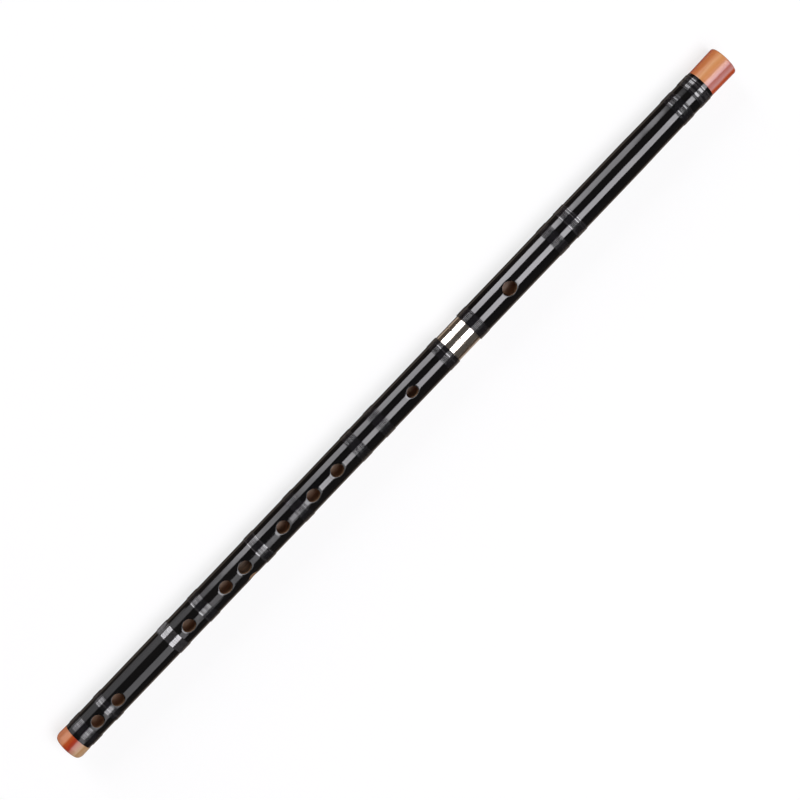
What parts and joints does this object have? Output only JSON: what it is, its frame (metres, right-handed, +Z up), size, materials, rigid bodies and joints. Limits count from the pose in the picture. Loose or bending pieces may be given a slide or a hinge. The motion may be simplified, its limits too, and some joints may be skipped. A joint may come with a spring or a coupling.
{
  "type": "transverse bamboo flute",
  "caption": "Black lacquered transverse bamboo flute with thread bindings, banded resin end rings and a metal joint on which the head slides and turns.",
  "frame": {"origin": "on the surface that the flute lies on, below the middle of its length", "axes": "+X along the bore towards the head end, +Z up through the finger holes"},
  "size_m": [0.67, 0.0242, 0.0243],
  "materials": {
    "lacquered_bamboo": "black gloss lacquer",
    "binding_thread": "black thread under lacquer",
    "nickel_silver": "polished",
    "banded_resin": "polished, banded like agate",
    "cork": "natural cork"
  },
  "bodies": {
    "body_section": {"body_tube": "lacquered_bamboo", "foot_cap": "banded_resin", "body_ferrule": "nickel_silver", "tenon_tube": "nickel_silver", "body_binding_1": "binding_thread", "body_binding_2": "binding_thread", "body_binding_3": "binding_thread", "body_binding_4": "binding_thread", "body_binding_5": "binding_thread", "body_binding_6": "binding_thread", "body_binding_7": "binding_thread", "body_binding_8": "binding_thread", "body_binding_9": "binding_thread"},
    "joint_sleeve": {"socket_sleeve": "nickel_silver"},
    "head_section": {"head_tube": "lacquered_bamboo", "head_cap": "banded_resin", "head_ferrule": "nickel_silver", "head_stopper": "cork", "head_binding_1": "binding_thread", "head_binding_2": "binding_thread", "head_binding_3": "binding_thread", "head_binding_4": "binding_thread", "head_binding_5": "binding_thread"}
  },
  "joints": [
    {"name": "tuning_slide", "type": "slide", "parent": "body_section", "child": "joint_sleeve", "axis": [1, 0, 0], "range_m": [0, 0.02]},
    {"name": "head_twist", "type": "hinge", "parent": "joint_sleeve", "child": "head_section", "pos_m": [0.0644, 0, 0.01213], "axis": [1, 0, 0], "continuous": true}
  ]
}
